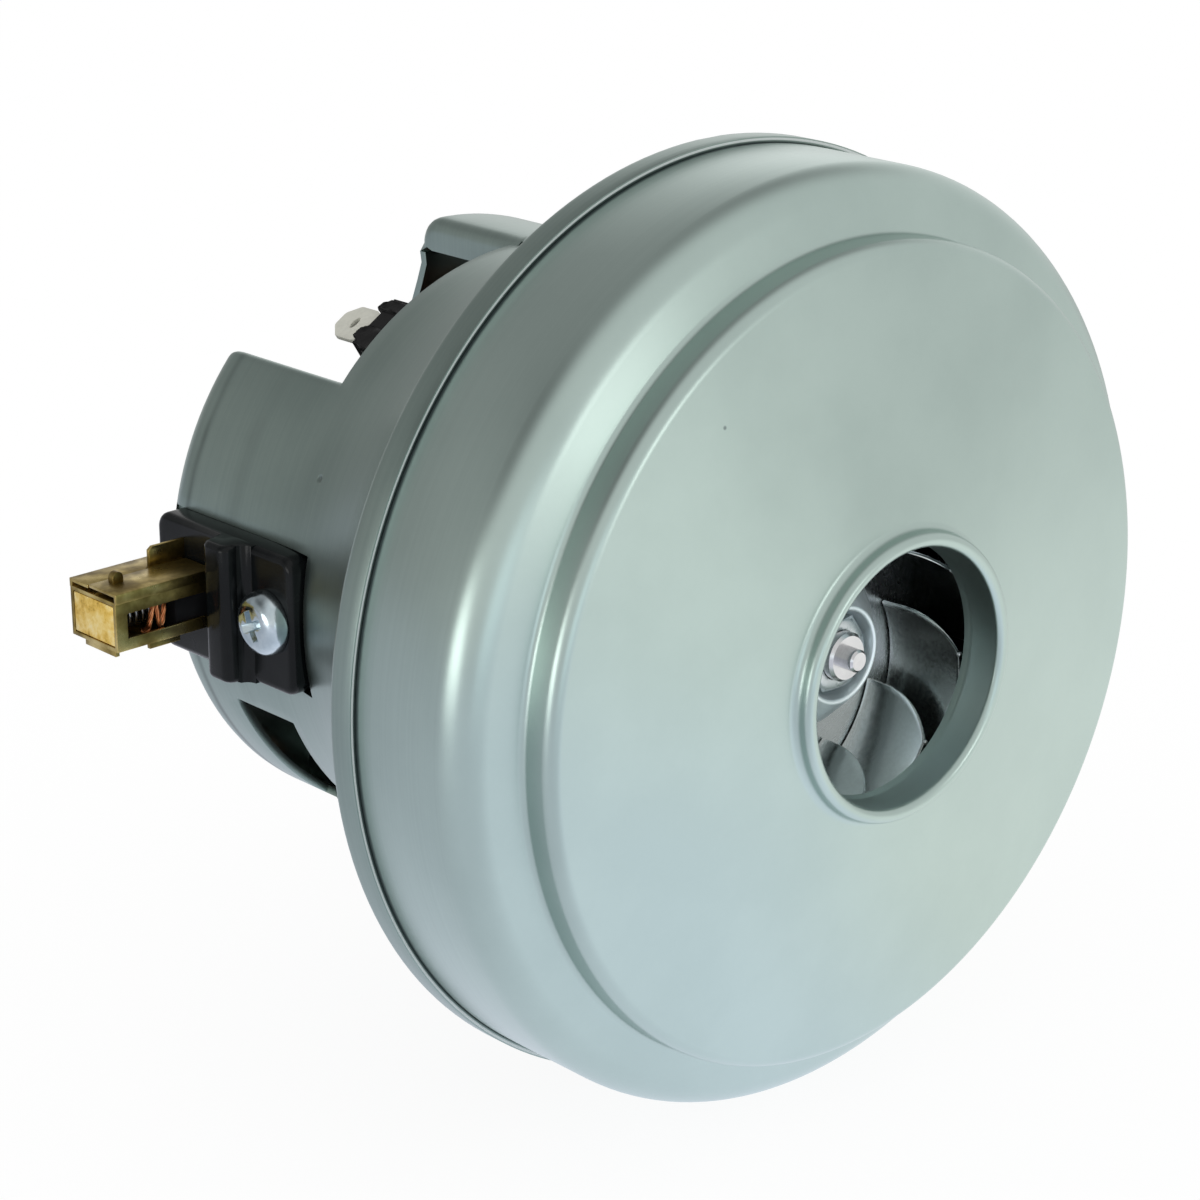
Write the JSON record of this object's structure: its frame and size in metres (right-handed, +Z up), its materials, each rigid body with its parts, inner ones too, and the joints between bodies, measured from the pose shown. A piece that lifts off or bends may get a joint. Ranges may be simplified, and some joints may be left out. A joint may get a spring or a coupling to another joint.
{
  "type": "vacuum motor unit",
  "caption": "Suction motor for a vacuum cleaner: a flared steel frame with brush holders on its sides, and a fan under a round pressed cover with a rolled inlet lip.",
  "frame": {"origin": "on the motor axis, at the front edge of the frame's rim", "axes": "+Y along the motor axis towards the rear bearing boss, so the air inlet faces -Y; +X and -X out of the brush holders; +Z up"},
  "size_m": [0.1351, 0.1164, 0.135],
  "materials": {
    "zinc_sheet": "satin zinc coat with fine drawing lines",
    "zinc_screw": "bright zinc",
    "black_plastic": "moulded, half gloss",
    "lamination_steel": "stacked sheet, varnished",
    "enamelled_copper": "enamelled wire",
    "tinned_tab": "tinned",
    "bearing_steel": "ground",
    "cage_plastic": "moulded",
    "cushion_rubber": "matte",
    "brass_sheet": "dull rolled brass",
    "spring_steel": "drawn wire",
    "copper_strand": "stranded bare copper",
    "carbon": "pressed carbon",
    "hub_resin": "moulded resin",
    "bar_copper": "turned copper",
    "fan_alloy": "rolled sheet",
    "nut_steel": "bright zinc"
  },
  "bodies": {
    "housing": {"fan_cover": "zinc_sheet", "motor_frame": "zinc_sheet", "front_bracket": "zinc_sheet", "bearing_retainer": "zinc_sheet", "retainer_screws": "zinc_screw", "diffuser_screws": "zinc_screw", "stator_screws": "zinc_screw", "stator_spacers": "zinc_screw", "holder_screws": "zinc_screw", "diffuser": "black_plastic", "coil_frame_front": "black_plastic", "coil_frame_rear": "black_plastic", "brush_holder_left": "black_plastic", "brush_holder_right": "black_plastic", "stator_core": "lamination_steel", "field_coil_upper": "enamelled_copper", "field_coil_lower": "enamelled_copper", "terminal_tab_upper": "tinned_tab", "terminal_tab_lower": "tinned_tab", "front_bearing_outer": "bearing_steel", "front_bearing_shields": "bearing_steel", "rear_bearing_outer": "bearing_steel", "rear_bearing_shields": "bearing_steel", "rear_bearing_cushion": "cushion_rubber", "brush_box_left": "brass_sheet", "brush_box_right": "brass_sheet", "box_cap_left": "brass_sheet", "box_cap_right": "brass_sheet", "brush_spring_left": "spring_steel", "brush_spring_right": "spring_steel", "brush_lead_left": "copper_strand", "brush_lead_right": "copper_strand"},
    "rotor": {"shaft": "bearing_steel", "armature_core": "lamination_steel", "armature_winding_front": "enamelled_copper", "armature_winding_rear": "enamelled_copper", "commutator_hub": "hub_resin", "commutator_bars": "bar_copper", "front_bearing_inner": "bearing_steel", "rear_bearing_inner": "bearing_steel", "fan_spacer": "fan_alloy", "fan_back_disc": "fan_alloy", "fan_front_disc": "fan_alloy", "fan_vanes": "fan_alloy", "inducer_hub": "fan_alloy", "inducer_blades": "fan_alloy", "fan_washer": "nut_steel", "fan_nut": "nut_steel"},
    "front_ball_set": {"front_bearing_balls": "bearing_steel", "front_bearing_cage": "cage_plastic"},
    "rear_ball_set": {"rear_bearing_balls": "bearing_steel", "rear_bearing_cage": "cage_plastic"},
    "brush_left": {"carbon_brush_left": "carbon"},
    "brush_right": {"carbon_brush_right": "carbon"}
  },
  "joints": [
    {"name": "rotor_spin", "type": "hinge", "parent": "housing", "child": "rotor", "pos_m": [0, 0, 0], "axis": [0, 1, 0], "continuous": true},
    {"name": "front_balls_spin", "type": "hinge", "parent": "housing", "child": "front_ball_set", "pos_m": [0, 0, 0], "axis": [0, 1, 0], "continuous": true},
    {"name": "rear_balls_spin", "type": "hinge", "parent": "housing", "child": "rear_ball_set", "pos_m": [0, 0, 0], "axis": [0, 1, 0], "continuous": true},
    {"name": "brush_left_lift", "type": "slide", "parent": "housing", "child": "brush_left", "axis": [-1, 0, 0], "range_m": [0, 0.0045], "stiffness_N_per_m": 100, "springref_m": -0.02, "deforming": ["brush_spring_left", "brush_lead_left"]},
    {"name": "brush_right_lift", "type": "slide", "parent": "housing", "child": "brush_right", "axis": [1, 0, 0], "range_m": [0, 0.0045], "stiffness_N_per_m": 100, "springref_m": -0.02, "deforming": ["brush_spring_right", "brush_lead_right"]}
  ],
  "couplings": [
    {"joint": "front_balls_spin", "follows": "rotor_spin", "ratio": 0.39},
    {"joint": "rear_balls_spin", "follows": "rotor_spin", "ratio": 0.39}
  ]
}
